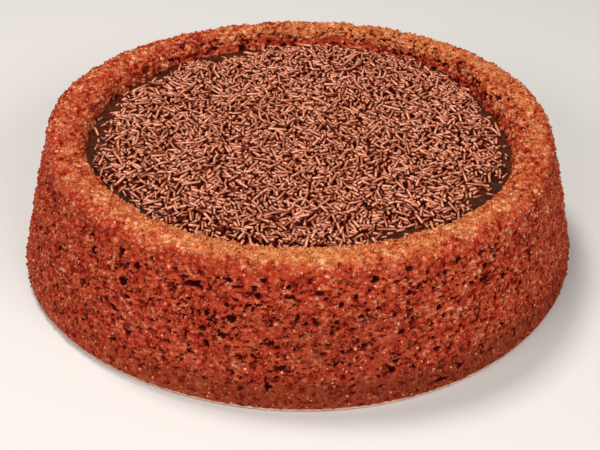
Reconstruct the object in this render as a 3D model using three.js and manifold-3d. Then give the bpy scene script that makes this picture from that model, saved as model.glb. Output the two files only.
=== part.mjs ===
// A brigadeiro cake: a round chocolate sponge baked in a tin with a raised middle and turned out, so that
// its top is a shallow pool with a rounded rim. Chocolate fudge fills the pool nearly to the rim, and a bed
// of chocolate sprinkles covers the fudge, all but a few bare strips along the wall.
//
// Millimetres, +Z up. The origin is the middle of the flat base, and the front of the cake faces -Y.
// Angles go round the cake from the front, towards +X.

import * as THREE from "three";
import { mergeVertices } from "three/addons/utils/BufferGeometryUtils.js";
import Module from "manifold-3d";

const wasm = await Module();
wasm.setup();

// ---- Driving dimensions ----

const BASE_RADIUS = 120; // the widest ring, just above the base
const BASE_RING_Z = 4;
const BASE_EDGE = 1.8; // how far the flat base's edge is rounded under
const SHOULDER_RADIUS = 109; // where the side turns into the rim's top
const SHOULDER_Z = 57.2;
const SIDE_BULGE = 0.6; // how far the side's middle stands out from a straight taper
const CREST_RADIUS = 101.5; // the highest ring of the rim
const CREST_Z = 61;
const LIP_RADIUS = 94.4; // where the rim's top turns down into the pool
const LIP_Z = 58.8;
const POOL_FLOOR_RADIUS = 86;
const POOL_FLOOR_Z = 36;

const FUDGE_Z = 52.2; // level of the fudge along the pool's wall
const BED_MARGIN = 2; // width of bare fudge between the bed of sprinkles and the wall
const BED_SLOPE = 3; // width of the bed's sloping edge
const BED_HEIGHT = 1.2; // thickness of the bed at its edge
const BED_CROWN = 1.2; // how much higher the bed is in the middle
const CLEARANCE = 0.3; // gap between the fudge and the sponge that holds it

const SPRINKLE_RADIUS = 0.55;
const SPRINKLE_LENGTH = { least: 3, most: 6.5 };
const SPRINKLE_SIDES = 4;
const SPRINKLE_COUNT = 270; // the topmost ones: the bed itself stands for the rest
const SPRINKLE_TILT = 6; // most degrees off level
const SPRINKLE_INSET = 2.2; // from the bed's edge to the middle of the outermost ones
const SPRINKLE_SINK = 0.1; // how far its axis lies below the bed's surface

const SEGMENTS = 72; // facets round the cake
const SIDE_RINGS = 9;
const BED_SEGMENTS = 36;
const BED_RINGS = 5;
const CRAG = 0.3; // unevenness of the baked crust
const BED_BUMP = 0.2; // unevenness of the bed of sprinkles

// The cake isn't quite round. Each ripple is [lobes, height, degrees to its first lobe].
const BASE_RIPPLES = [
  [2, 1.05, -88],
  [4, 0.7, 60],
];
const SHOULDER_RIPPLES = [
  [2, 0.55, 158],
  [3, 1.1, 28],
  [4, 1.1, 180],
  [5, 0.7, 166],
];
const LIP_RIPPLES = [
  [2, 1.3, 5],
  [3, 1.1, 115],
  [4, 0.65, -112],
  [5, 0.4, -20],
];

// Where the sprinkles stop short of the wall, and fudge shows. Each bay is [degrees, half its spread, depth].
const BARE_BAYS = [
  [-52, 9, 5.5],
  [-88, 9, 7],
  [-105, 9, 7],
  [-131, 9, 5.5],
  [-152, 4, 8.5],
  [-161, 7, 6],
  [28, 12, 9.5],
  [57, 8, 8],
  [67, 5, 5.5],
  [82, 20, 4],
  [107, 8, 5],
];

// Open pores in the crust: a few large ones where they show best, and smaller ones scattered round the side.
// Each large one is [degrees, height on the side, width, height].
const LARGE_PORES = [
  [-46, 46, 3.2, 3.6],
  [-38, 52, 3.6, 3],
  [-37, 40, 4.2, 3.6],
  [-21, 48, 7, 2.4],
  [-13, 37, 4, 3],
  [15, 51, 3, 2.6],
  [22, 53, 3.4, 3.2],
  [28, 6, 5.5, 2.4],
  [45, 38, 3.2, 3.6],
  [55, 38, 3.2, 4],
];
const SMALL_PORE_COUNT = 24;
const SMALL_PORE_WIDTH = { least: 1.8, most: 3 };
const PORE_ZONE = { low: 9, high: 52 };

const COLOURS = { sponge: 0x9a4a26, fudge: 0x6a3a28 };

// ---- Helpers ----

const radians = THREE.MathUtils.degToRad;
const lerp = THREE.MathUtils.lerp;
const clamp = THREE.MathUtils.clamp;

// A random generator that gives the same draws each run.
function seeded(seed) {
  let state = seed >>> 0;
  return () => {
    state = (state + 0x6d2b79f5) >>> 0;
    let t = state;
    t = Math.imul(t ^ (t >>> 15), t | 1);
    t ^= t + Math.imul(t ^ (t >>> 7), t | 61);
    return ((t ^ (t >>> 14)) >>> 0) / 4294967296;
  };
}

function between(random, { least, most }) {
  return lerp(least, most, random());
}

function ripple(ripples, angle) {
  return ripples.reduce((sum, [lobes, height, first]) => sum + height * Math.cos(lobes * angle - radians(first)), 0);
}

function toSolid(geometry) {
  const bare = new THREE.BufferGeometry();
  bare.setAttribute("position", geometry.getAttribute("position"));
  bare.setIndex(geometry.index);
  const merged = mergeVertices(bare, 1e-3);
  const corners = merged.index.array;
  const kept = [];
  for (let i = 0; i < corners.length; i += 3) {
    const [a, b, c] = corners.slice(i, i + 3);
    if (a !== b && b !== c && c !== a) kept.push(a, b, c); // the triangles at a pole have no area
  }
  return new wasm.Manifold(
    new wasm.Mesh({
      numProp: 3,
      vertProperties: merged.getAttribute("position").array,
      triVerts: new Uint32Array(kept),
    }),
  );
}

function toGeometry(solid) {
  const mesh = solid.getMesh();
  const geometry = new THREE.BufferGeometry();
  geometry.setAttribute("position", new THREE.BufferAttribute(mesh.vertProperties, 3));
  geometry.setIndex(new THREE.BufferAttribute(mesh.triVerts, 1));
  const faceted = geometry.toNonIndexed();
  faceted.computeVertexNormals();
  return faceted;
}

// Turns an outline of rings round the Z axis. A ring is { r, z, shape }: shape, if it has one, gives the
// change in radius and in height at an angle. The first and last rings lie on the axis.
function turn(rings, segments) {
  const outline = rings.map(({ r, z }) => new THREE.Vector2(r, z));
  const lathe = new THREE.LatheGeometry(outline, segments);
  const position = lathe.getAttribute("position");
  for (let i = 0; i < segments; i++) {
    const angle = (i / segments) * 2 * Math.PI;
    rings.forEach(({ r, z, shape }, j) => {
      const [outward, upward] = shape ? shape(angle) : [0, 0];
      const radius = r + outward;
      const point = [radius * Math.sin(angle), -radius * Math.cos(angle), z + upward];
      position.setXYZ(i * rings.length + j, ...point);
      if (i === 0) position.setXYZ(segments * rings.length + j, ...point); // the seam
    });
  }
  return toSolid(lathe);
}

// The radius of the side at a height, before the ripples.
function sideRadius(z) {
  const t = (z - BASE_RING_Z) / (SHOULDER_Z - BASE_RING_Z);
  return lerp(BASE_RADIUS, SHOULDER_RADIUS, t) + SIDE_BULGE * Math.sin(Math.PI * clamp(t, 0, 1));
}

function sideRipple(z, angle) {
  const t = clamp((z - BASE_RING_Z) / (SHOULDER_Z - BASE_RING_Z), 0, 1);
  return lerp(ripple(BASE_RIPPLES, angle), ripple(SHOULDER_RIPPLES, angle), t);
}

// The radius of the pool's wall at a height, before the ripples.
function poolRadius(z) {
  return lerp(POOL_FLOOR_RADIUS, LIP_RADIUS, (z - POOL_FLOOR_Z) / (LIP_Z - POOL_FLOOR_Z));
}

// ---- The sponge ----

function spongeBody() {
  const random = seeded(7);
  const crag = () => CRAG * (2 * random() - 1);
  const craggy = (z) => (angle) => [sideRipple(z, angle) + crag(), 0];
  const baseShape = (angle) => [ripple(BASE_RIPPLES, angle), 0];
  const lipShape = (angle) => [ripple(LIP_RIPPLES, angle), 0];
  // The rim's top runs from the shoulder (across 0) over the crest to the lip (across 1).
  const rimShape = (across) => (angle) => [
    lerp(ripple(SHOULDER_RIPPLES, angle), ripple(LIP_RIPPLES, angle), across),
    crag(),
  ];
  const rings = [
    { r: 0, z: 0 },
    { r: BASE_RADIUS - BASE_EDGE, z: 0, shape: baseShape },
    { r: BASE_RADIUS - BASE_EDGE / 4, z: BASE_EDGE / 2, shape: baseShape },
    { r: BASE_RADIUS, z: BASE_RING_Z, shape: baseShape },
  ];
  for (let i = 1; i < SIDE_RINGS; i++) {
    const z = lerp(BASE_RING_Z, SHOULDER_Z, i / SIDE_RINGS);
    rings.push({ r: sideRadius(z), z, shape: craggy(z) });
  }
  rings.push(
    { r: SHOULDER_RADIUS, z: SHOULDER_Z, shape: craggy(SHOULDER_Z) },
    { r: SHOULDER_RADIUS - 1.6, z: SHOULDER_Z + 2, shape: rimShape(0.1) },
    { r: SHOULDER_RADIUS - 4, z: CREST_Z - 0.6, shape: rimShape(0.3) },
    { r: CREST_RADIUS, z: CREST_Z, shape: rimShape(0.5) },
    { r: CREST_RADIUS - 4, z: CREST_Z - 0.5, shape: rimShape(0.75) },
    { r: LIP_RADIUS + 0.9, z: LIP_Z + 0.9, shape: rimShape(1) },
    { r: LIP_RADIUS, z: LIP_Z, shape: lipShape },
    { r: POOL_FLOOR_RADIUS, z: POOL_FLOOR_Z, shape: lipShape },
    { r: 0, z: POOL_FLOOR_Z },
  );
  return turn(rings, SEGMENTS);
}

// A pore is a small lump, centred on the side's surface, that is cut out of it.
function pore(angle, z, width, height) {
  const lump = new THREE.IcosahedronGeometry(0.5, 0);
  lump.scale(width, Math.min(width, height), height);
  lump.rotateZ(angle);
  const radius = sideRadius(z) + sideRipple(z, angle);
  lump.translate(radius * Math.sin(angle), -radius * Math.cos(angle), z);
  return toSolid(lump);
}

function pores() {
  const random = seeded(23);
  const large = LARGE_PORES.map(([angle, z, width, height]) => pore(radians(angle), z, width, height));
  const small = Array.from({ length: SMALL_PORE_COUNT }, (_, i) => {
    const angle = ((i + 0.8 * random()) / SMALL_PORE_COUNT) * 2 * Math.PI;
    const z = lerp(PORE_ZONE.low, PORE_ZONE.high, random());
    const width = between(random, SMALL_PORE_WIDTH);
    return pore(angle, z, width, width * lerp(0.6, 1.1, random()));
  });
  return wasm.Manifold.union([...large, ...small]);
}

// ---- The fudge and its sprinkles ----

// The radius where the bed of sprinkles ends, before the ripples.
function bedRadius(angle) {
  const bays = BARE_BAYS.map(([middle, spread, depth]) => {
    const away = Math.atan2(Math.sin(angle - radians(middle)), Math.cos(angle - radians(middle)));
    return depth * Math.exp(-((away / radians(spread)) ** 2));
  });
  return poolRadius(FUDGE_Z) - BED_MARGIN - Math.max(0, ...bays);
}

// Height of the bed of sprinkles, before its bumps.
function bedHeight(radius, edge) {
  const inside = clamp((edge - radius) / BED_SLOPE, 0, 1);
  const middle = 1 - Math.min(radius / edge, 1) ** 2;
  return FUDGE_Z + BED_HEIGHT * inside + BED_CROWN * middle;
}

function fudgeBody() {
  const wallShape = (angle) => [ripple(LIP_RIPPLES, angle), 0];
  const bottom = POOL_FLOOR_Z + CLEARANCE;
  const rings = [
    { r: 0, z: bottom },
    { r: poolRadius(bottom) - CLEARANCE, z: bottom, shape: wallShape },
    { r: poolRadius(FUDGE_Z) - CLEARANCE, z: FUDGE_Z, shape: wallShape },
    { r: 0, z: FUDGE_Z },
  ];
  return turn(rings, SEGMENTS);
}

// The bed is a low dome, sunk a little into the fudge.
function bedBody() {
  const random = seeded(41);
  const sunk = FUDGE_Z - BED_HEIGHT;
  const foot = (angle) => [bedRadius(angle) + ripple(LIP_RIPPLES, angle), sunk];
  const rings = [
    { r: 0, z: sunk },
    { r: 0, z: 0, shape: foot },
  ];
  for (let i = 0; i < BED_RINGS; i++) {
    const share = 1 - i / BED_RINGS;
    const bumpy = (angle) => {
      const edge = bedRadius(angle);
      const radius = (edge - BED_SLOPE) * share;
      return [radius + share * ripple(LIP_RIPPLES, angle), bedHeight(radius, edge) + BED_BUMP * (2 * random() - 1)];
    };
    rings.push({ r: 0, z: 0, shape: bumpy });
  }
  rings.push({ r: 0, z: bedHeight(0, bedRadius(0)) });
  return turn(rings, BED_SEGMENTS);
}

// The sprinkles follow a sunflower's spiral, which spreads them evenly, and point every way. Those that
// would reach past the bed's edge lie along it.
function sprinkles() {
  const random = seeded(59);
  const goldenAngle = Math.PI * (3 - Math.sqrt(5));
  return Array.from({ length: SPRINKLE_COUNT }, (_, i) => {
    const around = i * goldenAngle;
    const edge = bedRadius(around);
    const out = (edge - SPRINKLE_INSET) * Math.sqrt((i + 0.5) / SPRINKLE_COUNT);
    const length = between(random, SPRINKLE_LENGTH);
    const heading = out + length / 2 < edge ? random() * Math.PI : around;
    const rod = new THREE.CylinderGeometry(SPRINKLE_RADIUS, SPRINKLE_RADIUS, length, SPRINKLE_SIDES, 1);
    rod.rotateZ(Math.PI / 2);
    rod.rotateX(random() * 2 * Math.PI);
    rod.rotateY(radians(SPRINKLE_TILT) * (2 * random() - 1));
    rod.rotateZ(heading);
    const radius = out + (out / edge) * ripple(LIP_RIPPLES, around);
    const z = bedHeight(out, edge) - SPRINKLE_SINK;
    rod.translate(radius * Math.sin(around), -radius * Math.cos(around), z);
    return toSolid(rod);
  });
}

// ---- The cake ----

function piece(name, solid, colour, roughness) {
  const material = new THREE.MeshStandardMaterial({ color: colour, roughness, metalness: 0, flatShading: true });
  const mesh = new THREE.Mesh(toGeometry(solid), material);
  mesh.name = name;
  return mesh;
}

const cake = new THREE.Group();
cake.add(piece("sponge", spongeBody().subtract(pores()), COLOURS.sponge, 0.95));
const filling = wasm.Manifold.union([fudgeBody(), bedBody(), ...sprinkles()]);
cake.add(piece("fudge_filling", filling, COLOURS.fudge, 0.45));

export default cake;
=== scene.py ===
"""A brigadeiro cake: chocolate sponge turned out of a tin that leaves a pool in its top, fudge in the pool,
and a bed of chocolate sprinkles on the fudge. The cake stands on the floor, centred on the origin, with its
front towards -Y. Angles go round it from the front, towards +X. Sizes are in metres, unless a comment says
that they are in mm."""

import math

import bpy
import numpy as np
from mathutils import Matrix, Vector


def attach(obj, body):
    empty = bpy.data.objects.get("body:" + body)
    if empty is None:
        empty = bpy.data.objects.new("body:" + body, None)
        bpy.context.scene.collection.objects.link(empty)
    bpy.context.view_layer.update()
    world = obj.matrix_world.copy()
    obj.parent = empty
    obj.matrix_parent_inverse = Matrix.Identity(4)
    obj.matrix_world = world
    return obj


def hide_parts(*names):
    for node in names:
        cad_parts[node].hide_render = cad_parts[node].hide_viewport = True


bl_info = {
    "name": "Brigadeiro Cake",
    "version": (1, 0, 0),
    "blender": (4, 5, 0),
    "location": "3D View > Sidebar > Cake",
    "description": "Builds a brigadeiro cake, piece by piece, round its packed frame",
    "category": "Add Mesh",
}

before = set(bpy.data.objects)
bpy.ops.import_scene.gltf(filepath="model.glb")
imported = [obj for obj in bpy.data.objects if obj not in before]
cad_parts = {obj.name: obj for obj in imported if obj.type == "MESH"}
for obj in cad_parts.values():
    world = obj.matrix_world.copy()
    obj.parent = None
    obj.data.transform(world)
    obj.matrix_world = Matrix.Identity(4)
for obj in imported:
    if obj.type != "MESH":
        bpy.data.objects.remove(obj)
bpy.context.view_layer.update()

MM = 0.001
TURN = 2 * math.pi
TOUCHING = 1e-6  # points this close are one
NEARLY = 1e-5  # room for rounding, where points are picked by their place

# The cake isn't quite round. Each ripple is (lobes, height in mm, degrees to its first lobe).
BASE_RIPPLES = [(2, 1.05, -88), (4, 0.7, 60)]
SHOULDER_RIPPLES = [(2, 0.55, 158), (3, 1.1, 28), (4, 1.1, 180), (5, 0.7, 166)]
LIP_RIPPLES = [(2, 1.3, 5), (3, 1.1, 115), (4, 0.65, -112), (5, 0.4, -20)]

# Where the sprinkles stop short of the wall, and fudge shows: (degrees, half the spread in degrees, depth
# in mm).
BARE_BAYS = [
    (-55, 14, 5.2),
    (-88, 10, 7),
    (-105, 9, 7),
    (-131, 9, 5.5),
    (-152, 4, 10),
    (-161, 7, 7),
    (28, 12, 11),
    (57, 8, 9.5),
    (67, 5, 7),
    (82, 20, 4),
    (107, 8, 5.5),
    (130, 14, 1.5),
]

# Where the bed of sprinkles is thin, in mm from the middle.
THIN_SPOTS = [
    (-42, -43),
    (-22, -45),
    (43, -43),
    (-6, 7),
    (-10, -5),
    (0, 11),
    (17, -28),
    (-4, -32),
    (27, 21),
    (-67, 1),
    (-67, -24),
    (-51, -35),
    (-64, -31),
]

# The largest open pores: (degrees, how far up the side, width, height, depth), all but the first in mm.
LARGE_PORES = [
    (-70, 31, 2.4, 3, 1.4),
    (-67, 45, 2.4, 3.4, 1.6),
    (-65, 14, 2.8, 3.4, 1.6),
    (-58, 35, 2.8, 3.2, 1.8),
    (-58, 50, 2.4, 2.6, 1.4),
    (-57, 19, 2.6, 3, 1.6),
    (-47, 52, 3, 2.6, 1.6),
    (-46, 46, 3.2, 3.6, 2.2),
    (-38, 52, 3.6, 3, 2),
    (-37, 40, 4.2, 3.6, 2.4),
    (-34, 48.5, 3.4, 3, 1.8),
    (-21, 48, 7.5, 2.4, 2.2),
    (-18, 37.5, 3, 2, 1.4),
    (-17.6, 25.3, 2.6, 1.8, 1.4),
    (-14, 52, 3, 2, 1.6),
    (-7, 53, 2.4, 1.8, 1.4),
    (-2, 51, 2.2, 1.6, 1.2),
    (-8, 47, 3, 2.6, 1.4),
    (-13, 37, 4, 3, 2),
    (-5, 29, 2.6, 2.2, 1.8),
    (-5.5, 11, 3, 2.2, 1.6),
    (8, 44, 2.6, 2, 1.4),
    (11, 47, 2.4, 2, 1.4),
    (15, 53, 3, 2.4, 1.8),
    (22, 55.5, 3.6, 3, 2.2),
    (33, 54, 3, 3, 1.6),
    (34, 43.5, 2.6, 2, 1.4),
    (45, 38, 3.2, 3.2, 1.6),
    (55, 38, 3.2, 4, 2.2),
    (20, 31, 2.6, 2.4, 1.4),
    (18.6, 19, 3, 2, 1.4),
    (28, 5.6, 5.5, 2, 2),
    (32.6, 8.5, 3, 2, 1.4),
    (44, 17, 3.4, 2.4, 1.6),
    (28, 37, 3, 2, 1.4),
    (39, 41.5, 5, 1.6, 1.4),
    (54, 41, 2.4, 3, 1.4),
    (48, 8.5, 2.4, 2.4, 1.2),
]

# How tan the rim is, round the cake: (degrees, share).
TAN_RIM = [
    (-180, 1.02),
    (-145, 0.4),
    (-90, 0.22),
    (-35, 0.64),
    (0, 1),
    (35, 0.52),
    (90, 0.5),
    (145, 1.2),
    (180, 1.02),
]

# Relief of the crust: the pattern, size and depth of each layer. The layers of pores also have the part of
# the pattern that a pore's wall takes up, from its floor to the surface.
CRAGS = [
    ("CLOUDS", 0.008, 0.0011),
    ("CLOUDS", 0.0035, 0.0009),
    ("VORONOI", 0.0022, -0.0009),
]
PORES = [
    ("CLOUDS", 0.0021, 0.0011, (0.28, 0.42)),
    ("CLOUDS", 0.0038, 0.0016, (0.18, 0.3)),
]

CRUMB_KINDS = [("crumbs_fine", 0.0005, 3), ("crumbs_coarse", 0.0007, 4)]  # name, radius and seed

# Sprinkles by length: name, shortest and longest in mm, share of all, sag of the middle in mm.
SPRINKLE_KINDS = [
    ("sprinkles_bits", 1.5, 2.6, 0.28, 0.0),
    ("sprinkles_short", 2.6, 3.8, 0.32, 0.0),
    ("sprinkles_medium", 3.8, 5.2, 0.26, 0.04),
    ("sprinkles_long", 5.2, 8.4, 0.14, 0.16),
]

# How the sprinkles fall.
DISC = 0.0955  # radius of the disc on which places are drawn
TRIES = 5  # places tried for each sprinkle, of which the lowest is taken
SLOPES = np.linspace(-0.5, 0.5, 21)  # slopes tried at a place
PRESSED = 0.00025  # how deep a sprinkle presses into the fudge
BRIDGE = 0.0011  # most room that may stay under its middle
RAGGED = 0.001  # how far the bed's edge wavers, each way
STRAYS = 0.017  # share of the sprinkles that may lie past that edge
STRAY_REACH = 0.006  # how far past it they may lie
STRAY_TRIES = 2  # places tried for each of them
STRAY_HOLE = 0.72  # share of the disc's area, round its middle, where they aren't dropped

CLEAR = 0.0003  # room between the fudge and the pool's floor and wall

# The camera: its place, and how many degrees it looks down and rolls.
CAMERA_PLACE = (0.00012, -0.5655, 0.3691)
CAMERA_DOWN = 32.47
CAMERA_ROLL = 0.69

# Lamps: name, place, size, watts, colour.
LAMPS = [
    ("key", (-0.25, 0.25, 1.07), (0.25, 0.25), 10.7, (1, 0.97, 0.93)),
    ("left", (-0.6, -0.9, 0.75), (0.8, 0.4), 12.5, (1, 0.98, 0.95)),
    ("right", (0.6, -0.9, 0.75), (0.8, 0.4), 13.4, (1, 0.98, 0.95)),
]


# ---- Sizes and colours ----


class SpongeSettings(bpy.types.PropertyGroup):
    """Sizes and colours of the sponge."""

    base_radius: bpy.props.FloatProperty(
        name="Base radius", description="Widest ring, just above the floor", default=0.12, unit="LENGTH"
    )
    base_ring: bpy.props.FloatProperty(
        name="Base ring", description="Height of the widest ring", default=0.004, unit="LENGTH"
    )
    shoulder_radius: bpy.props.FloatProperty(
        name="Shoulder radius", description="Where the side meets the rim", default=0.109, unit="LENGTH"
    )
    shoulder: bpy.props.FloatProperty(
        name="Shoulder", description="Height of the shoulder", default=0.0572, unit="LENGTH"
    )
    bulge: bpy.props.FloatProperty(
        name="Bulge",
        description="How far the side stands out from a straight taper",
        default=0.0006,
        unit="LENGTH",
    )
    crest_radius: bpy.props.FloatProperty(
        name="Crest radius", description="Radius of the rim's highest ring", default=0.1015, unit="LENGTH"
    )
    crest: bpy.props.FloatProperty(
        name="Crest", description="Height of the rim's highest ring", default=0.061, unit="LENGTH"
    )
    lip_radius: bpy.props.FloatProperty(
        name="Lip radius", description="Where the rim turns into the pool", default=0.0944, unit="LENGTH"
    )
    lip: bpy.props.FloatProperty(name="Lip", description="Height of the lip", default=0.0588, unit="LENGTH")
    pool_radius: bpy.props.FloatProperty(
        name="Pool radius", description="Radius of the pool's floor", default=0.086, unit="LENGTH"
    )
    pool_floor: bpy.props.FloatProperty(
        name="Pool floor", description="Height of the pool's floor", default=0.036, unit="LENGTH"
    )
    side_facet: bpy.props.FloatProperty(
        name="Side facet", description="Spacing of the vertices on the side", default=0.00066, unit="LENGTH"
    )
    rim_facet: bpy.props.FloatProperty(
        name="Rim facet", description="Spacing of the vertices on the rim", default=0.0005, unit="LENGTH"
    )
    crumbs: bpy.props.IntProperty(name="Crumbs", description="Loose crumbs of each size", default=7500)
    # Painted shade: the colour between the grains of crumb, where shade falls.
    gap: bpy.props.FloatVectorProperty(
        name="Gap", description="Between grains of crumb", subtype="COLOR", default=(0.14, 0.0035, 0.0004)
    )
    crumb: bpy.props.FloatVectorProperty(
        name="Crumb", description="Baked crumb of the side", subtype="COLOR", default=(0.35, 0.048, 0.0162)
    )
    ruddy: bpy.props.FloatVectorProperty(
        name="Ruddy", description="Redder patches of it", subtype="COLOR", default=(0.32, 0.028, 0.011)
    )
    # Partly the crumb's own paler grains, and partly a painted highlight on the grains' tops.
    pale: bpy.props.FloatVectorProperty(
        name="Pale", description="Its palest grains", subtype="COLOR", default=(0.49, 0.14, 0.078)
    )
    # Painted shade: the colour between the rim's grains, where shade falls.
    tan_crevice_shade: bpy.props.FloatVectorProperty(
        name="Tan gap", description="Between the rim's grains", subtype="COLOR", default=(0.4, 0.068, 0.014)
    )
    tan: bpy.props.FloatVectorProperty(
        name="Tan", description="Pale crust along the rim", subtype="COLOR", default=(0.42, 0.126, 0.038)
    )
    # Partly the rim's own paler grains, and partly a painted highlight on the grains' tops.
    tan_pale_and_highlight: bpy.props.FloatVectorProperty(
        name="Pale tan", description="The rim's palest grains", subtype="COLOR", default=(0.62, 0.33, 0.19)
    )
    # Painted highlight: pale glints on the crumb.
    glint: bpy.props.FloatVectorProperty(
        name="Speck", description="Pale specks of crumb", subtype="COLOR", default=(0.85, 0.36, 0.19)
    )
    # Painted shade: the near-black inside of the open pores.
    pore: bpy.props.FloatVectorProperty(
        name="Pore", description="Inside of the open pores", subtype="COLOR", default=(0.02, 0.0008, 0.0002)
    )
    # Darker crust near the base, most at the right of the front, and down the front's middle.
    darkening: bpy.props.FloatVectorProperty(
        name="Scorch", description="Dark crust near the base", subtype="COLOR", default=(0.16, 0.022, 0.007)
    )
    # Partly the pale skin at the base's edge, and partly a painted reflection of the floor's light on its
    # underside.
    edge: bpy.props.FloatVectorProperty(
        name="Edge", description="Pale skin at the base's edge", subtype="COLOR", default=(0.6, 0.36, 0.28)
    )


class FudgeSettings(bpy.types.PropertyGroup):
    """Sizes and colours of the fudge."""

    level: bpy.props.FloatProperty(
        name="Level", description="Height of the fudge along the wall", default=0.0522, unit="LENGTH"
    )
    crown: bpy.props.FloatProperty(
        name="Crown", description="How much higher it is in the middle", default=0.0008, unit="LENGTH"
    )
    colour: bpy.props.FloatVectorProperty(
        name="Colour", description="Dark chocolate fudge", subtype="COLOR", default=(0.039, 0.0064, 0.0017)
    )


class SprinkleSettings(bpy.types.PropertyGroup):
    """Sizes and colours of the sprinkles."""

    radius: bpy.props.FloatProperty(
        name="Radius", description="Half a sprinkle's thickness", default=0.0005, unit="LENGTH"
    )
    count: bpy.props.IntProperty(name="Count", description="Sprinkles dropped on the fudge", default=14000)
    seed: bpy.props.IntProperty(name="Seed", description="Choice of where they fall", default=5)
    margin: bpy.props.FloatProperty(
        name="Margin", description="Least width of bare fudge along the wall", default=0.0005, unit="LENGTH"
    )
    bed: bpy.props.FloatProperty(
        name="Bed", description="How high over the fudge they may lie", default=0.0034, unit="LENGTH"
    )
    ceiling: bpy.props.FloatProperty(
        name="Ceiling", description="Highest point that a sprinkle may reach", default=0.0605, unit="LENGTH"
    )
    pale: bpy.props.FloatVectorProperty(
        name="Pale", description="The palest sprinkles", subtype="COLOR", default=(0.58, 0.207, 0.102)
    )
    dark: bpy.props.FloatVectorProperty(
        name="Dark", description="The darkest sprinkles", subtype="COLOR", default=(0.33, 0.075, 0.024)
    )
    # Painted shade: the colour of sprinkles deep in the bed, where those above shade them.
    deep_shade: bpy.props.FloatVectorProperty(
        name="Sunk", description="Sprinkles deep in the bed", subtype="COLOR", default=(0.08, 0.003, 0.0005)
    )


class StageSettings(bpy.types.PropertyGroup):
    """The floor, the lights and the camera."""

    lens: bpy.props.FloatProperty(name="Lens", description="Focal length in mm", default=89.7)
    floor: bpy.props.FloatVectorProperty(
        name="Floor", description="Pale floor", subtype="COLOR", default=(0.5, 0.485, 0.47)
    )


# ---- The cake's form ----


def ripple(ripples, angle):
    """How far the ripples move the round form outwards at an angle."""
    waves = (height * np.cos(lobes * angle - math.radians(first)) for lobes, height, first in ripples)
    return MM * sum(waves)


def blend(share, low, high):
    return low + (high - low) * share


def climb(values, low, high):
    """0 below low, 1 above high, and even between them."""
    return np.clip((values - low) / (high - low), 0, 1)


def around(x, y):
    """Angle round the cake."""
    return np.arctan2(x, -y)


def facing(angle, degrees):
    """1 at a number of degrees, and -1 opposite it."""
    return np.cos(angle - math.radians(degrees))


def apart(angle, degrees):
    """How far an angle is from a number of degrees, the short way round."""
    return np.angle(np.exp(1j * (angle - math.radians(degrees))))


def side_radius(sponge, z):
    """Radius of the side at a height, before the ripples."""
    share = (z - sponge.base_ring) / (sponge.shoulder - sponge.base_ring)
    bulge = sponge.bulge * np.sin(math.pi * share)
    return blend(share, sponge.base_radius, sponge.shoulder_radius) + bulge


def pool_radius(sponge, z):
    """Radius of the pool's wall at a height, before the ripples."""
    share = (z - sponge.pool_floor) / (sponge.lip - sponge.pool_floor)
    return blend(share, sponge.pool_radius, sponge.lip_radius)


def rim_curve(sponge):
    """Points over the rim, from the shoulder to the lip and a little down the wall, as (radius, height)."""
    outer, inner = sponge.shoulder_radius, sponge.lip_radius
    foot = 0.053
    return [
        (outer, sponge.shoulder),
        (outer - 0.0016, sponge.shoulder + 0.002),
        (outer - 0.004, sponge.crest - 0.0006),
        (sponge.crest_radius, sponge.crest),
        (sponge.crest_radius - 0.004, sponge.crest - 0.0005),
        (inner + 0.0009, sponge.lip + 0.0009),
        (inner, sponge.lip),
        (pool_radius(sponge, foot), foot),
    ]


def smooth_curve(points, spacing):
    """A Catmull-Rom spline through the points, in steps of about the spacing."""
    p = np.array([points[0], *points, points[-1]], float)
    made = []
    for a, b, c, d in zip(p, p[1:], p[2:], p[3:]):
        steps = max(1, round(float(np.linalg.norm(c - b)) / spacing))
        for t in np.arange(steps) / steps:
            bend = (2 * a - 5 * b + 4 * c - d) * t**2 + (3 * b - a - 3 * c + d) * t**3
            made.append(0.5 * (2 * b + (c - a) * t + bend))
    return [*made, p[-1]]


def bed_edge(sponge, fudge, angle, margin):
    """Radius where the bed of sprinkles ends, with the ripples."""
    bays = 0
    for middle, spread, depth in BARE_BAYS:
        away = apart(angle, middle) / math.radians(spread)
        bays = np.maximum(bays, depth * MM * np.exp(-(away**2)))
    return pool_radius(sponge, fudge.level) - margin - bays + ripple(LIP_RIPPLES, angle)


# ---- Shader maths ----


class Value:
    """A shader socket that adds Math nodes when it is used in an expression."""

    def __init__(self, paint, socket):
        self.paint = paint
        self.socket = socket

    def _math(self, operation, *values):
        return self.paint.node("ShaderNodeMath", {"operation": operation}, dict(enumerate(values)))

    def __add__(self, other):
        return self._math("ADD", self, other)

    def __radd__(self, other):
        return self._math("ADD", other, self)

    def __sub__(self, other):
        return self._math("SUBTRACT", self, other)

    def __rsub__(self, other):
        return self._math("SUBTRACT", other, self)

    def __mul__(self, other):
        return self._math("MULTIPLY", self, other)

    def __rmul__(self, other):
        return self._math("MULTIPLY", other, self)

    def clamped(self):
        """No less than 0 and no more than 1."""
        return self._math("MINIMUM", self._math("MAXIMUM", self, 0.0), 1.0)

    def step(self, low, high):
        """0 below low, 1 above high, and smooth between them."""
        return self.paint.node(
            "ShaderNodeMapRange",
            {"interpolation_type": "SMOOTHSTEP"},
            {"Value": self, "From Min": low, "From Max": high},
        )


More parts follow.
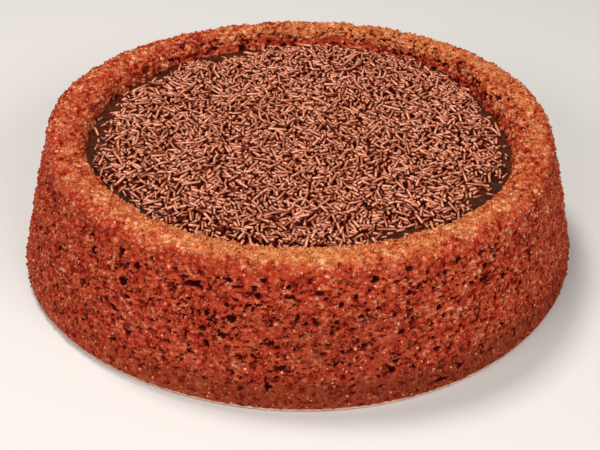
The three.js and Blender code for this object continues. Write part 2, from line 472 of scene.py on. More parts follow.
class Paint:
    """A material with a Principled shader, and its nodes."""

    def __init__(self, name):
        self.material = bpy.data.materials.new(name)
        self.material.use_nodes = True
        self.tree = self.material.node_tree
        self.shader = self.tree.nodes["Principled BSDF"]
        self.place = self.node("ShaderNodeTexCoord", output="Object")

    def node(self, kind, settings=None, sockets=None, output=0):
        """Adds a node, sets its settings, then its sockets' values or links, and returns an output."""
        made = self.tree.nodes.new(kind)
        for key, value in (settings or {}).items():
            setattr(made, key, value)
        for key, value in (sockets or {}).items():
            if isinstance(value, Value):
                self.tree.links.new(value.socket, made.inputs[key])
            else:
                made.inputs[key].default_value = value
        return Value(self, made.outputs[output])

    def feed(self, **sockets):
        """Sets or links the shader's sockets."""
        for key, value in sockets.items():
            socket = self.shader.inputs[key.replace("_", " ")]
            if isinstance(value, Value):
                self.tree.links.new(value.socket, socket)
            else:
                socket.default_value = value

    def noise(self, size, detail=2.0, rough=0.5, flat=1.0):
        """Cloudy noise about 0.5. Its spots have about the size, and are flat times as wide as high."""
        place = self.place
        if flat != 1:
            stretched = {0: place, 1: (1, 1, flat)}
            place = self.node("ShaderNodeVectorMath", {"operation": "MULTIPLY"}, stretched)
        sockets = {"Vector": place, "Scale": 1 / size, "Detail": detail, "Roughness": rough}
        return self.node("ShaderNodeTexNoise", {}, sockets)

    def cells(self, size):
        """Distance from the middle of cells of about the size, from 0 to about 1."""
        return self.node("ShaderNodeTexVoronoi", {}, {"Vector": self.place, "Scale": 1 / size}, "Distance")

    def attribute(self, name):
        return self.node("ShaderNodeAttribute", {"attribute_name": name}, output="Fac")

    def mix(self, factor, low, high, kind="MIX"):
        """Mixes two colours."""
        low, high = (c if isinstance(c, Value) else (*c, 1) for c in (low, high))
        settings = {"data_type": "RGBA", "blend_type": kind}
        return self.node("ShaderNodeMix", settings, {0: factor, 6: low, 7: high}, output=2)

    def shade(self, colour, brightness):
        """The colour times a brightness."""
        grey = self.node("ShaderNodeCombineColor", {}, {0: brightness, 1: brightness, 2: brightness})
        return self.mix(1.0, colour, grey, "MULTIPLY")

    def bump(self, height, depth, strength=1.0):
        """Normals of a relief of that depth in metres."""
        sockets = {"Height": height, "Distance": depth, "Strength": strength}
        return self.node("ShaderNodeBump", {}, sockets, output="Normal")


def crust_paint(sponge):
    """Reddish-brown crumb, tan along the rim, and darker near the base and down the front's middle, with
    painted shade in the gaps between grains, in the pinholes and in the pores, painted highlights on the
    grains' tops and in pale glints, and a pale edge at the base that is partly skin and partly a painted
    reflection.
    """
    paint = Paint("sponge_crust")
    patchy = paint.noise(0.007, 3)
    fine = paint.noise(0.0026, 3, 0.6, flat=1.5)
    grain = 1 - paint.cells(0.0019)
    pinholes = (0.43 - paint.noise(0.0026, 2, 0.55, flat=1.7)).step(0.0, 0.09)
    relief = paint.attribute("relief")
    tan = paint.attribute("tan")
    spotty = 1.4 * (patchy - 0.5) + 1.7 * (fine - 0.5) + 0.5 * (grain - 0.6) + 0.35 * relief
    tanned = (tan + spotty).step(0.05, 1.05)
    # Partly the crumb's own random tone, and partly painted shade in the gaps between grains and a painted
    # highlight on their tops.
    tone_and_shade = 0.45 * grain + 1.15 * fine + 0.5 * patchy - 0.55

    crumb = paint.mix(paint.noise(0.005, 2).step(0.4, 0.6), sponge.ruddy, sponge.crumb)
    gap = paint.mix(tanned, sponge.gap, sponge.tan_crevice_shade)
    pale = paint.mix(tanned, sponge.pale, sponge.tan_pale_and_highlight)
    crust = paint.mix(tone_and_shade.step(0.15, 0.5), gap, paint.mix(tanned, crumb, sponge.tan))
    crust = paint.mix(tone_and_shade.step(0.5, 0.95), crust, pale)
    darkened = (paint.attribute("darkening") + 0.8 * (patchy - 0.5)).step(0.1, 1.0)
    crust = paint.mix(0.85 * darkened, crust, sponge.darkening)
    # Painted highlight: pale glints, mostly on the grains' tops.
    crust = paint.mix((paint.noise(0.0011, 1) + 0.25 * grain).step(0.82, 0.95), crust, sponge.glint)
    # Painted shade where the crumb is open: darker in the pinholes, in the deeper relief, and darkest in
    # the sunken pores.
    open_crumb = paint.attribute("open")
    crust = paint.mix(0.85 * open_crumb * pinholes, crust, [0.55 * c for c in sponge.gap])
    crust = paint.mix(open_crumb * (-1 * relief).step(0.1, 0.8), crust, [0.7 * c for c in sponge.gap])
    pore_shade_mask = open_crumb * (-1 * relief).step(0.4, 1.15)
    crust = paint.mix(pore_shade_mask, crust, sponge.pore)
    # Partly pale skin and partly a painted reflection of the floor's light, along the base's edge.
    skin_and_reflection = (paint.attribute("edge") + 0.8 * (fine - 0.5)).step(0.3, 0.8)
    crust = paint.mix(skin_and_reflection, crust, sponge.edge)
    height = 0.5 * grain + 0.6 * fine - 0.5 * pinholes
    paint.feed(
        Base_Color=crust,
        Roughness=0.8,
        Normal=paint.bump(height, 0.001),
        Specular_IOR_Level=0.05,
        Coat_Weight=0.3 * paint.noise(0.0012, 1).step(0.5, 0.7) * (1 - pinholes) * (1 - pore_shade_mask),
        Coat_Roughness=0.35,
    )
    return paint.material


def fudge_paint(fudge):
    """Glossy dark chocolate, softly dimpled."""
    paint = Paint("fudge")
    soft = paint.noise(0.006, 3)
    dark, light = ([part * share for part in fudge.colour] for share in (0.7, 1.5))
    paint.feed(
        Base_Color=paint.mix(soft.step(0.3, 0.7), dark, light),
        Roughness=0.4,
        Normal=paint.bump(paint.noise(0.003, 3), 0.0024),
        Specular_IOR_Level=0.06,
        Coat_Weight=0.5 * paint.noise(0.0045, 2).step(0.46, 0.6),
        Coat_Roughness=0.22,
    )
    return paint.material


def sprinkle_paint(sprinkles):
    """Milk chocolate, a little different on each sprinkle, with painted shade on those that lie deep in the
    bed.
    """
    paint = Paint("sprinkles")
    mottle = paint.noise(0.0007, 2)
    colour = paint.mix(paint.attribute("tint"), sprinkles.dark, sprinkles.pale)
    # Painted shade: sprinkles deep under their neighbours' tops turn dark and lose their coat.
    depth = paint.attribute("depth")
    colour = paint.mix(depth, colour, sprinkles.deep_shade)
    paint.feed(
        Base_Color=paint.shade(colour, 0.75 + 0.5 * mottle),
        Roughness=0.6,
        Normal=paint.bump(mottle, 0.0001, 0.7),
        Specular_IOR_Level=0.08,
        Coat_Weight=(1 - 1.3 * depth).clamped(),
        Coat_Roughness=0.36,
        Coat_IOR=1.75,
    )
    return paint.material


# ---- Modelling ----


def start_piece():
    """Deselects everything, so that the next operator acts on the new piece alone."""
    bpy.ops.object.select_all(action="DESELECT")


def finish_piece(name, material, slot, *nodes):
    """Names the active piece, paints it, and lets it ride on the cake's body."""
    piece = bpy.context.active_object
    piece.name = name
    piece.data.name = name
    piece.data.materials.clear()
    piece.data.materials.append(material)
    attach(piece, "root")
    if nodes:
        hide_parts(*nodes)
    return piece


def read_points(mesh):
    co = np.empty(len(mesh.vertices) * 3)
    mesh.vertices.foreach_get("co", co)
    return co.reshape(-1, 3)


def read_normals(mesh):
    normals = np.empty(len(mesh.vertices) * 3)
    mesh.vertices.foreach_get("normal", normals)
    return normals.reshape(-1, 3)


def write_points(mesh, co):
    mesh.vertices.foreach_set("co", co.astype(np.float32).ravel())
    mesh.update()


def read_attribute(mesh, name):
    values = np.empty(len(mesh.vertices))
    mesh.attributes[name].data.foreach_get("value", values)
    return values


def write_attribute(mesh, name, values):
    made = mesh.attributes.new(name, "FLOAT", "POINT")
    made.data.foreach_set("value", values.astype(np.float32).ravel())


def lathe(outline, segments, closed=False):
    """Draws an outline of (radius, height) by extruding a vertex, and turns it round the Z axis."""
    points = [np.array(point, float) for point in outline]
    start_piece()
    bpy.ops.mesh.primitive_plane_add(size=MM)
    bpy.ops.object.mode_set(mode="EDIT")
    bpy.ops.mesh.select_all(action="SELECT")
    bpy.ops.mesh.merge(type="CENTER")
    bpy.ops.transform.translate(value=(points[0][0], 0, points[0][1]))
    for here, there in zip(points, points[1:]):
        step = (there[0] - here[0], 0, there[1] - here[1])
        bpy.ops.mesh.extrude_region_move(TRANSFORM_OT_translate={"value": step})
    if closed:
        bpy.ops.mesh.select_all(action="SELECT")
        bpy.ops.mesh.remove_doubles(threshold=TOUCHING)
    bpy.ops.object.mode_set(mode="OBJECT")
    bpy.ops.object.modifier_add(type="SCREW")
    turned = bpy.context.active_object
    screw = turned.modifiers[-1]
    screw.steps = screw.render_steps = segments
    screw.use_merge_vertices = True
    screw.merge_threshold = TOUCHING
    bpy.ops.object.modifier_apply(modifier=screw.name)
    bpy.ops.object.mode_set(mode="EDIT")
    bpy.ops.mesh.select_all(action="SELECT")
    bpy.ops.mesh.remove_doubles(threshold=TOUCHING)
    bpy.ops.mesh.normals_make_consistent(inside=False)
    bpy.ops.object.mode_set(mode="OBJECT")
    bpy.ops.object.shade_smooth()
    return turned


def roughen(piece, kind, size, depth, ramp=None):
    """Displaces a piece along its normals by a cloudy or cell-like pattern with features of the size. With
    a ramp (low, high), what is above high stays as it is, and what is below low sinks by the depth."""
    texture = bpy.data.textures.new(kind.lower(), kind)
    texture.noise_scale = size
    if ramp:
        texture.use_color_ramp = True
        for element, position, grey in zip(texture.color_ramp.elements, ramp, (0, 1)):
            element.position = position
            element.color = (grey, grey, grey, 1)
    bpy.context.view_layer.objects.active = piece
    bpy.ops.object.modifier_add(type="DISPLACE")
    displace = piece.modifiers[-1]
    displace.texture = texture
    displace.texture_coords = "LOCAL"
    displace.strength = depth
    displace.mid_level = 1 if ramp else 0.5
    bpy.ops.object.modifier_apply(modifier=displace.name)
    bpy.data.textures.remove(texture)


def roughness(piece, co, flat, layers):
    """How far the layers move points that lie at co. Their patterns are flat times as wide as high."""
    stretched = co * (1, 1, flat)
    write_points(piece.data, stretched)
    for layer in layers:
        roughen(piece, *layer)
    return read_points(piece.data) - stretched


# ---- The sponge ----


def side_outline(sponge):
    """Outline of the sponge's base and side: a cup that the rim sits in."""
    heights = np.arange(sponge.base_ring, sponge.shoulder, sponge.side_facet)
    return [
        (0, 0),
        (sponge.base_radius - 0.0018, 0),
        (sponge.base_radius - 0.0008, 0.0004),
        (sponge.base_radius - 0.0002, 0.0015),
        (sponge.base_radius, 0.0028),
        *[(side_radius(sponge, z), z) for z in heights],
        (sponge.shoulder_radius, sponge.shoulder),
        (sponge.shoulder_radius - 0.0012, sponge.shoulder + 0.0006),
        (sponge.shoulder_radius - 0.003, sponge.shoulder),
        (sponge.pool_radius + 0.001, sponge.pool_floor - 0.001),
        (0, sponge.pool_floor - 0.001),
    ]


def rim_outline(sponge):
    """Closed outline of the rim: over the crest, down the pool's wall and back up inside the sponge."""
    tucked = (sponge.shoulder_radius - 0.0003, sponge.shoulder - 0.001)
    return [
        tucked,
        *smooth_curve(rim_curve(sponge), sponge.rim_facet),
        (sponge.pool_radius, sponge.pool_floor),
        (sponge.pool_radius + 0.0005, sponge.pool_floor - 0.0006),
        (sponge.shoulder_radius - 0.0042, sponge.shoulder - 0.0012),
        tucked,
    ]


def warp(sponge, co):
    """Moves points of the round form by the ripples. Returns their angles, and how far over the rim each
    lies, from 0 at the shoulder to 1 at the lip."""
    r, angle, z = np.hypot(co[:, 0], co[:, 1]), around(co[:, 0], co[:, 1]), co[:, 2]
    up = climb(z, sponge.base_ring, sponge.shoulder)
    over = np.clip((sponge.shoulder_radius - r) / (sponge.shoulder_radius - sponge.lip_radius), 0, 1)
    outside = blend(up, ripple(BASE_RIPPLES, angle), ripple(SHOULDER_RIPPLES, angle))
    shift = np.where(z < 0.001, outside, blend(over, outside, ripple(LIP_RIPPLES, angle)))
    radius = r + shift * climb(r, 0, 0.05)
    co[:, 0], co[:, 1] = radius * np.sin(angle), -radius * np.cos(angle)
    return angle, over


def large_pores(sponge, angle, z):
    """Depth of the largest pores at a place on the side, in metres."""
    pits = np.zeros(len(z))
    for degrees, height, width, tall, depth in LARGE_PORES:
        across = apart(angle, degrees) * sponge.shoulder_radius / (0.5 * width * MM)
        along = (z - height * MM) / (0.5 * tall * MM)
        wobble = 1 + 0.2 * np.sin(3 * np.arctan2(along, across) + degrees)
        share = np.clip(2.1 * (1 - np.hypot(across, along) / wobble), 0, 1.2)
        pits = np.maximum(pits, depth * MM * share)
    return pits


def torn_share(angle, over):
    """How torn the inside of the rim is: not at the front, and most at the right of the back."""
    behind = (1 - np.cos(angle)) * (0.18 + 0.45 * np.abs(np.sin(angle)))
    behind *= np.clip(0.5 + 0.6 * facing(angle, 130), 0.25, 1)
    return behind * climb(over, 0.42, 0.77)


def pore_share(z, over, torn):
    """How deep the pores are: most on the middle of the side, and where the rim is torn."""
    on_side = np.clip((z - 0.004) / 0.01, 0.1, 1) * np.clip((0.06 - z) / 0.01, 0.35, 1)
    return on_side * np.clip(1 - 2 * over, 0.3, 1) + 1.8 * torn


def tan_share(sponge, angle, z, over):
    """How tan the crust is: little on the side, more so on its right, and most on the rim."""
    side = 0.07 + 0.1 * np.sin(angle) ** 2 + 0.05 * np.sin(angle) + 0.1 * climb(z, 0.03, 0.055)
    top = climb(z, sponge.shoulder - 0.002, sponge.shoulder + 0.001)
    inward = np.clip(over / np.clip(0.2 + 0.4 * np.abs(angle), 0.2, 0.6), 0, 1)
    wall = (1 - climb(z, sponge.lip - 0.0025, sponge.lip + 0.0005)) * (over > 0.95)
    return side + np.interp(np.degrees(angle), *zip(*TAN_RIM)) * top * inward + 0.2 * wall


def darkening_share(angle, z):
    """How dark the crust is: near the base, most at the right of the front, and down the front's middle."""
    right = np.clip(facing(angle, 22), 0, 1) ** 2
    front = np.clip(facing(angle, 6), 0, 1) ** 8
    near_base = (0.35 + 0.75 * right) * (1 - climb(z, 0.009, 0.02))
    return np.maximum(near_base, 0.52 * front * (1 - climb(z, 0.036, 0.056)))


def bake_crust(piece, sponge, hidden, large=False):
    """Gives a turned piece of sponge its uneven form, crags, crumb and pores, and what its paint reads. Its
    hidden points get no relief, and large adds the largest pores."""
    mesh = piece.data
    co = read_points(mesh)
    angle, over = warp(sponge, co)
    write_points(mesh, co)
    z = co[:, 2].copy()
    smooth = read_normals(mesh)
    torn = torn_share(angle, over)

    crags = roughness(piece, co, 1.2, CRAGS)
    pores = roughness(piece, co, 1.7, PORES)
    moved = crags * (1 + torn[:, None]) + pores * pore_share(z, over, torn)[:, None]
    if large:
        moved -= smooth * large_pores(sponge, angle, z)[:, None]
    moved *= np.where(hidden, 0, climb(z, 0.001, 0.005))[:, None]
    co += moved
    co[:, 2] = np.maximum(co[:, 2], 0)
    write_points(mesh, co)

    ragged = (crags * smooth).sum(axis=1) / MM
    on_side = np.clip((sponge.shoulder + 0.002 - z) / 0.006, 0.3, 1)
    write_attribute(mesh, "relief", (moved * smooth).sum(axis=1) / MM)
    write_attribute(mesh, "tan", tan_share(sponge, angle, z, over) - torn * (0.68 - 0.8 * ragged))
    write_attribute(mesh, "open", np.clip(on_side + torn, 0, 1))
    write_attribute(mesh, "darkening", darkening_share(angle, z))
    # Where the base's edge gets its pale skin and painted reflection.
    write_attribute(mesh, "edge", (1 - climb(z, 0.0013, 0.0022)) * (over < 0.2))


def make_side(sponge):
    """Turns the side and the base. What the rim covers stays plain."""
    segments = round(TURN * (sponge.base_radius + sponge.shoulder_radius) / 2 / sponge.side_facet)
    piece = lathe(side_outline(sponge), segments)
    co = read_points(piece.data)
    r = np.hypot(co[:, 0], co[:, 1])
    inside = (co[:, 2] > sponge.shoulder + NEARLY) | (r < sponge.shoulder_radius - NEARLY)
    bake_crust(piece, sponge, inside, large=True)


def make_rim(sponge):
    """Turns the rim and the pool's wall. What lies in the sponge or under the fudge stays plain."""
    segments = round(TURN * sponge.crest_radius / sponge.rim_facet)
    piece = lathe(rim_outline(sponge), segments, closed=True)
    co = read_points(piece.data)
    r, z = np.hypot(co[:, 0], co[:, 1]), co[:, 2]
    inside = (z < sponge.shoulder - NEARLY) & (r > pool_radius(sponge, z) + 0.0005)
    under_fudge = z < 0.0525
    bake_crust(piece, sponge, under_fudge | inside)


# ---- Crumbs ----


def take_shape(piece, co):
    """The points and a small piece's faces. The piece is then removed."""
    mesh = piece.data
    faces = [list(p.vertices) for p in mesh.polygons]
    bpy.data.objects.remove(piece)
    bpy.data.meshes.remove(mesh)
    return co, faces


def crumb_shape(radius, seed):
    """Models one crumb: an angular lump."""
    start_piece()
    bpy.ops.mesh.primitive_ico_sphere_add(subdivisions=1, radius=radius)
    lump = bpy.context.active_object
    co = read_points(lump.data)
    co *= np.random.default_rng(seed).uniform(0.7, 1.2, (len(co), 1))
    return take_shape(lump, co)


def make_crumbs(sponge, name, radius, crust, seed):
    """Scatters crumbs over the pieces of the crust. Each takes its colour from where it lies."""
    random = np.random.default_rng(seed)
    meshes = [piece.data for piece in crust]
    co = np.concatenate([read_points(mesh) for mesh in meshes])
    normals = np.concatenate([read_normals(mesh) for mesh in meshes])
    tan, darkening, relief = (
        np.concatenate([read_attribute(mesh, key) for mesh in meshes])
        for key in ("tan", "darkening", "relief")
    )
    r, z = np.hypot(co[:, 0], co[:, 1]), co[:, 2]
    outside = (z > 0.055) | (r > sponge.shoulder_radius - 0.002)
    places = outside & (z > 0.004) & (r > sponge.lip_radius - 0.003) & (relief > -0.3)
    chosen = random.choice(np.flatnonzero(places), sponge.crumbs, replace=False)
    matrices = np.zeros((len(chosen), 4, 4))
    for matrix, k in zip(matrices, chosen):
        turned = Matrix.Rotation(random.uniform(0, TURN), 3, "Z")
        tipped = Matrix.Rotation(random.uniform(0, TURN), 3, "X")
        matrix[:3, :3] = np.array(turned @ tipped) * random.uniform(0.65, 1.35)
        matrix[:3, 3] = co[k] + normals[k] * radius * 0.15
    relief = random.uniform(-0.1, 0.3, len(chosen))
    attributes = {"tan": tan[chosen], "darkening": darkening[chosen], "relief": relief}
    join_copies(name, crumb_shape(radius, seed), matrices, attributes)


# ---- The fudge ----


def fudge_surface(sponge, fudge, x, y):
    """Height of the fudge: a low crown, with soft unevenness and a rise along the wall."""
    angle, r = around(x, y), np.hypot(x, y)
    wall = pool_radius(sponge, fudge.level) + ripple(LIP_RIPPLES, angle)
    share = np.clip(r / wall, 0, 1)
    swells = np.sin(70 * x + 1) * np.sin(83 * y) + np.sin(160 * x - 140 * y) * np.cos(90 * y + 2)
    rise = 0.0007 * np.exp(-(wall - r).clip(0) / 0.0012)
    return fudge.level + fudge.crown * (1 - share**2) + 0.00018 * swells + rise


def make_fudge(sponge, fudge):
    """Fills the pool. The top runs a little into the wall, and has finer rings where it may show."""
    wall = pool_radius(sponge, fudge.level)
    floor = sponge.pool_floor + CLEAR
    shown = np.arange(wall + 0.0006, 0.078, -0.0007)
    covered = np.linspace(0.077, 0, 26)
    top = [(r, fudge.level) for r in (*shown, *covered)]
    piece = lathe([(0, floor), (pool_radius(sponge, floor) - CLEAR, floor), *top], 720)
    mesh = piece.data
    co = read_points(mesh)
    angle, r = around(co[:, 0], co[:, 1]), np.hypot(co[:, 0], co[:, 1])
    r = r + ripple(LIP_RIPPLES, angle) * np.clip(r / wall, 0, 1)
    co[:, 0], co[:, 1] = r * np.sin(angle), -r * np.cos(angle)
    upper = co[:, 2] > fudge.level - 1e-4
    co[upper, 2] = fudge_surface(sponge, fudge, co[upper, 0], co[upper, 1])
    write_points(mesh, co)
    roughen(piece, "CLOUDS", 0.003, 0.0004)


# ---- The sprinkles ----


def sprinkle_shape(radius, length, sag):
    """Models one sprinkle along X: a rod with blunt, slightly rounded ends."""
    sides = 6
    along_x = (0, math.pi / 2, 0)
    start_piece()
    bpy.ops.mesh.primitive_cylinder_add(vertices=sides, radius=radius, depth=length, rotation=along_x)
    bpy.ops.object.transform_apply(location=True, rotation=True, scale=True)
    rod = bpy.context.active_object
    bpy.ops.object.mode_set(mode="EDIT")
    bpy.ops.mesh.select_mode(type="FACE")
    bpy.ops.mesh.select_all(action="DESELECT")
    bpy.ops.object.mode_set(mode="OBJECT")
    for face in rod.data.polygons:
        face.select = len(face.vertices) == sides
    bpy.ops.object.mode_set(mode="EDIT")
    bpy.ops.mesh.inset(thickness=radius * 0.28, depth=0, use_individual=True)
    bpy.ops.object.mode_set(mode="OBJECT")
    co = read_points(rod.data)
    at_end = np.abs(co[:, 0]) > length / 2 - TOUCHING
    edges = at_end & (np.hypot(co[:, 1], co[:, 2]) > radius * 0.9)
    co[edges, 0] -= np.sign(co[edges, 0]) * radius * 0.25
    co[:, 2] += sag * (1 - (2 * co[:, 0] / length) ** 2)
    return take_shape(rod, co)


class Bed:
    """A height map of the pool, on which sprinkles are dropped one by one."""

    def __init__(self, sponge, fudge, sprinkles):
        self.cell = 0.0003
        self.reach = 0.1  # half the map's width
        self.radius = sprinkles.radius
        self.ceiling = sprinkles.ceiling - sprinkles.radius  # for the middle of a sprinkle's ends
        self.size = int(2 * self.reach / self.cell)
        axis = (np.arange(self.size) + 0.5) * self.cell - self.reach
        x, y = np.meshgrid(axis, axis, indexing="ij")
        angle, r = around(x, y), np.hypot(x, y)
        past_floor = r - ripple(LIP_RIPPLES, angle) - sponge.pool_radius
        wall = past_floor / (sponge.lip_radius - sponge.pool_radius)
        sloping = blend(np.clip(wall, 0, 1), sponge.pool_floor, sponge.lip)
        rising = 0.0015 * np.clip((wall - 1) * 3, 0, 1)
        surface = fudge_surface(sponge, fudge, x, y)
        self.height = np.maximum(surface - PRESSED, sloping + rising)

    def index(self, x, y):
        i = np.clip(((x + self.reach) / self.cell).astype(int), 0, self.size - 1)
        j = np.clip(((y + self.reach) / self.cell).astype(int), 0, self.size - 1)
        return i, j

    def depth(self, co, cells=4):
        """How deep points lie under the tops of the sprinkles that are so many cells away, from 0 to 1."""
        tops = self.height
        for axis in (0, 1):
            tops = np.max([np.roll(tops, k, axis) for k in range(-cells, cells + 1)], axis=0)
        below = tops[self.index(co[:, 0], co[:, 1])] - co[:, 2]
        share = np.clip((below - 0.5 * self.radius) / (4 * self.radius), 0, 1)
        return share**2 * (3 - 2 * share)

    def footprint(self, x, y, heading, along, across):
        """Cells under a sprinkle, at places along it and across it."""
        along = along[:, None]
        ex, ey = math.cos(heading), math.sin(heading)
        return self.index(x + along * ex - across * ey, y + along * ey + across * ex)

    def settle(self, x, y, heading, length):
        """Height of a sprinkle's middle and its slope where it rests, or None if it can't lie there."""
        along = np.linspace(-length / 2, length / 2, 9)
        across = np.array([-0.7, 0, 0.7]) * self.radius
        lift = np.sqrt(self.radius**2 - across**2)
        under = (self.height[self.footprint(x, y, heading, along, across)] + lift).max(axis=1)
        heights = (under - SLOPES[:, None] * along).max(axis=1)
        best = int(heights.argmin())
        z, slope = float(heights[best]), float(SLOPES[best])
        if z - under[len(along) // 2] > BRIDGE or z + abs(slope) * length / 2 > self.ceiling:
            return None
        return z, slope

    def lay(self, x, y, heading, length, z, slope):
        """Adds a sprinkle that has settled to the height map."""
        along = np.arange(-length / 2, length / 2, self.cell * 0.7)
        across = np.linspace(-0.9, 0.9, 5) * self.radius
        crown = z + slope * along[:, None] + np.sqrt(self.radius**2 - across**2)
        where = self.footprint(x, y, heading, along, across)
        self.height[where] = np.maximum(self.height[where], crown)


def join_copies(name, shape, matrices, attributes):
    """One mesh with a copy of the shape at each matrix. Each copy has its own value of each attribute."""
    co, faces = shape
    points = np.einsum("nij,kj->nki", matrices[:, :3, :3], co) + matrices[:, None, :3, 3]
    sizes = np.array([len(f) for f in faces])
    loops = np.concatenate([np.array(f) for f in faces]) + len(co) * np.arange(len(matrices))[:, None]
    all_sizes = np.tile(sizes, len(matrices))
    starts = np.cumsum(all_sizes) - all_sizes
    mesh = bpy.data.meshes.new(name)
    mesh.vertices.add(points.shape[0] * points.shape[1])
    mesh.vertices.foreach_set("co", points.astype(np.float32).ravel())
    mesh.loops.add(loops.size)
    mesh.loops.foreach_set("vertex_index", loops.astype(np.int32).ravel())
    mesh.polygons.add(len(starts))
    mesh.polygons.foreach_set("loop_start", starts.astype(np.int32))
    mesh.polygons.foreach_set("use_smooth", np.full(len(starts), True))
    mesh.update(calc_edges=True)
    for key, values in attributes.items():
        write_attribute(mesh, key, np.repeat(values, len(co)))
    start_piece()
    piece = bpy.data.objects.new(name, mesh)
    bpy.context.scene.collection.objects.link(piece)
    bpy.context.view_layer.objects.active = piece
    piece.select_set(True)
    return piece


def sparse(x, y, inside):
    """Share of the sprinkles that a place goes without, so far inside the bed's edge."""
    share = 0.35 * np.exp(-np.clip(inside, 0, 1) / 0.003)
    for middle_x, middle_y in THIN_SPOTS:
        away = np.hypot(x - middle_x * MM, y - middle_y * MM) / 0.003
        share = np.maximum(share, 0.9 * np.exp(-(away**4)))
    return share


def highest(fudge, sprinkles, inside):
    """How high the middle of a sprinkle may lie, so far inside the bed's edge."""
    return fudge.level + min(0.001 + 0.25 * max(0, inside), sprinkles.bed)


def drop_sprinkles(sponge, fudge, sprinkles, bed):
    """Where each sprinkle comes to rest, at the lowest of a few places. Returns rows of kind, length, x, y,
    z, heading, slope, roll and tint."""
    random = np.random.default_rng(sprinkles.seed)
    shares = [kind[3] for kind in SPRINKLE_KINDS]
    rest = []
    for _ in range(sprinkles.count):
        kind = int(random.choice(len(shares), p=shares))
        length = MM * random.uniform(*SPRINKLE_KINDS[kind][1:3])
        stray = random.random() < STRAYS
        tries = []
        for _ in range(STRAY_TRIES if stray else TRIES):
            angle, heading = random.uniform(0, TURN, 2)
            r = DISC * math.sqrt(random.uniform(STRAY_HOLE if stray else 0, 1))
            x, y = r * math.sin(angle), -r * math.cos(angle)
            half = length / 2 * np.array([math.cos(heading), math.sin(heading)])
            far = max(math.hypot(x + half[0], y + half[1]), math.hypot(x - half[0], y - half[1]))
            edge = bed_edge(sponge, fudge, angle, sprinkles.margin)
            edge += STRAY_REACH if stray else random.uniform(-RAGGED, RAGGED)
            if far > edge or (not stray and random.random() < sparse(x, y, edge - r)):
                continue
            settled = bed.settle(x, y, heading, length)
            if settled and settled[0] < highest(fudge, sprinkles, edge - r):
                tries.append((*settled, x, y, heading))
        if tries:
            z, slope, x, y, heading = min(tries)
            bed.lay(x, y, heading, length, z, slope)
            rest.append((kind, length, x, y, z, heading, slope, random.uniform(0, TURN), random.random()))
    return np.array(rest)


def make_sprinkles(sponge, fudge, sprinkles, material):
    """Drops the sprinkles, and makes a piece of all those of each kind."""
    bed = Bed(sponge, fudge, sprinkles)
    rest = drop_sprinkles(sponge, fudge, sprinkles, bed)
    for number, (name, least, most, _, sag) in enumerate(SPRINKLE_KINDS):
        mine = rest[rest[:, 0] == number]
        standard = MM * (least + most) / 2
        shape = sprinkle_shape(sprinkles.radius, standard, sag * MM)
        matrices = np.empty((len(mine), 4, 4))
        for i, (_, length, x, y, z, heading, slope, roll, tint) in enumerate(mine):
            turned = Matrix.Rotation(heading, 4, "Z") @ Matrix.Rotation(-math.atan(slope), 4, "Y")
            thick = 0.9 + 0.22 * tint
            stretch = Matrix.Diagonal((length / standard, thick, thick, 1))
            matrices[i] = Matrix.Translation((x, y, z)) @ turned @ Matrix.Rotation(roll, 4, "X") @ stretch
        mesh = join_copies(name, shape, matrices, {"tint": mine[:, 8]}).data
        # How deep each point lies, which paints shade on the sprinkles deep in the bed.
        write_attribute(mesh, "depth", bed.depth(read_points(mesh)))
        finish_piece(name, material, "sprinkles")


# ---- Stage ----


def area_light(name, place, size, power, colour):
    """A rectangular light that shines at the cake."""
    data = bpy.data.lights.new(name, "AREA")
    data.shape = "RECTANGLE"
    data.size, data.size_y = size
    data.energy = power
    data.color = colour
    light = bpy.data.objects.new(name, data)
    bpy.context.scene.collection.objects.link(light)
    light.location = place
    light.rotation_euler = (Vector((0, 0, 0.03)) - Vector(place)).to_track_quat("-Z", "Y").to_euler()


def make_camera(stage):
    """The camera stands in front of the cake and looks down on it."""
    data = bpy.data.cameras.new("camera")
    data.lens = stage.lens
    data.sensor_width = 36
    camera = bpy.data.objects.new("camera", data)
    bpy.context.scene.collection.objects.link(camera)
    pitch = Matrix.Rotation(math.pi / 2 - math.radians(CAMERA_DOWN), 4, "X")
    roll = Matrix.Rotation(math.radians(CAMERA_ROLL), 4, "Z")
    camera.matrix_world = Matrix.Translation(CAMERA_PLACE) @ (pitch @ roll)
    bpy.context.scene.camera = camera


def make_floor(stage):
    start_piece()
    bpy.ops.mesh.primitive_plane_add(size=6, location=(0, 0, 0))
    floor = bpy.context.active_object
    floor.name = "floor"
    paint = Paint("floor")
    paint.feed(Base_Color=(*stage.floor, 1), Roughness=0.6)
    floor.data.materials.append(paint.material)


def make_sky():
    """Dim, slightly warm light from all round."""
    world = bpy.data.worlds.new("studio")
    world.use_nodes = True
    background = world.node_tree.nodes["Background"]
    background.inputs["Color"].default_value = (1, 0.97, 0.94, 1)
    background.inputs["Strength"].default_value = 0.2
    bpy.context.scene.world = world


def make_stage(stage):
    make_floor(stage)
    make_sky()
    for lamp in LAMPS:
        area_light(*lamp)
    bpy.context.scene.view_settings.view_transform = "Standard"
    make_camera(stage)


# ---- Operators ----


class CAKE_OT_stage(bpy.types.Operator):
    """Sets the floor, the lights and the camera"""

    bl_idname = "cake.stage"
    bl_label = "Stage"

    def execute(self, context):
        make_stage(context.scene.cake_stage)
        return {"FINISHED"}


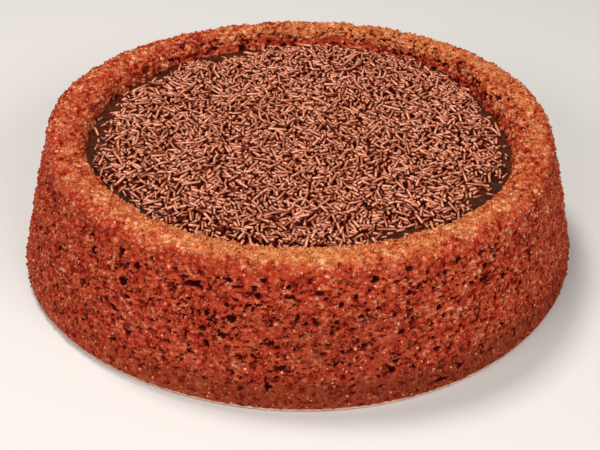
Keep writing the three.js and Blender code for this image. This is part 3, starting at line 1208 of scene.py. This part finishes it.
class CAKE_OT_sponge(bpy.types.Operator):
    """Makes the sponge: its side, its rim and the crumbs on them"""

    bl_idname = "cake.sponge"
    bl_label = "Sponge"

    def execute(self, context):
        sponge = context.scene.cake_sponge
        material = crust_paint(sponge)
        make_side(sponge)
        side = finish_piece("sponge_side", material, "sponge_crust", "sponge")
        make_rim(sponge)
        rim = finish_piece("sponge_rim", material, "sponge_crust", "sponge")
        for name, radius, seed in CRUMB_KINDS:
            make_crumbs(sponge, name, radius, (side, rim), seed)
            finish_piece(name, material, "sponge_crust")
        return {"FINISHED"}


class CAKE_OT_fudge(bpy.types.Operator):
    """Fills the pool with fudge"""

    bl_idname = "cake.fudge"
    bl_label = "Fudge"

    def execute(self, context):
        make_fudge(context.scene.cake_sponge, context.scene.cake_fudge)
        finish_piece("fudge", fudge_paint(context.scene.cake_fudge), "fudge", "fudge_filling")
        return {"FINISHED"}


class CAKE_OT_sprinkles(bpy.types.Operator):
    """Drops the sprinkles on the fudge"""

    bl_idname = "cake.sprinkles"
    bl_label = "Sprinkles"

    def execute(self, context):
        scene = context.scene
        material = sprinkle_paint(scene.cake_sprinkles)
        make_sprinkles(scene.cake_sponge, scene.cake_fudge, scene.cake_sprinkles, material)
        return {"FINISHED"}


class CAKE_PT_panel(bpy.types.Panel):
    """Lists the cake's pieces"""

    bl_idname = "CAKE_PT_panel"
    bl_label = "Brigadeiro Cake"
    bl_space_type = "VIEW_3D"
    bl_region_type = "UI"
    bl_category = "Cake"

    def draw(self, context):
        for operator in OPERATORS:
            self.layout.operator(operator.bl_idname)


OPERATORS = (CAKE_OT_stage, CAKE_OT_sponge, CAKE_OT_fudge, CAKE_OT_sprinkles)
SETTINGS = {
    "cake_sponge": SpongeSettings,
    "cake_fudge": FudgeSettings,
    "cake_sprinkles": SprinkleSettings,
    "cake_stage": StageSettings,
}


def register():
    for kind in (*SETTINGS.values(), *OPERATORS, CAKE_PT_panel):
        bpy.utils.register_class(kind)
    for name, kind in SETTINGS.items():
        setattr(bpy.types.Scene, name, bpy.props.PointerProperty(type=kind))


def unregister():
    for name in SETTINGS:
        delattr(bpy.types.Scene, name)
    for kind in (CAKE_PT_panel, *OPERATORS, *SETTINGS.values()):
        bpy.utils.unregister_class(kind)


def main():
    register()
    bpy.ops.cake.stage()
    bpy.ops.cake.sponge()
    bpy.ops.cake.fudge()
    bpy.ops.cake.sprinkles()


if __name__ == "__main__":
    main()
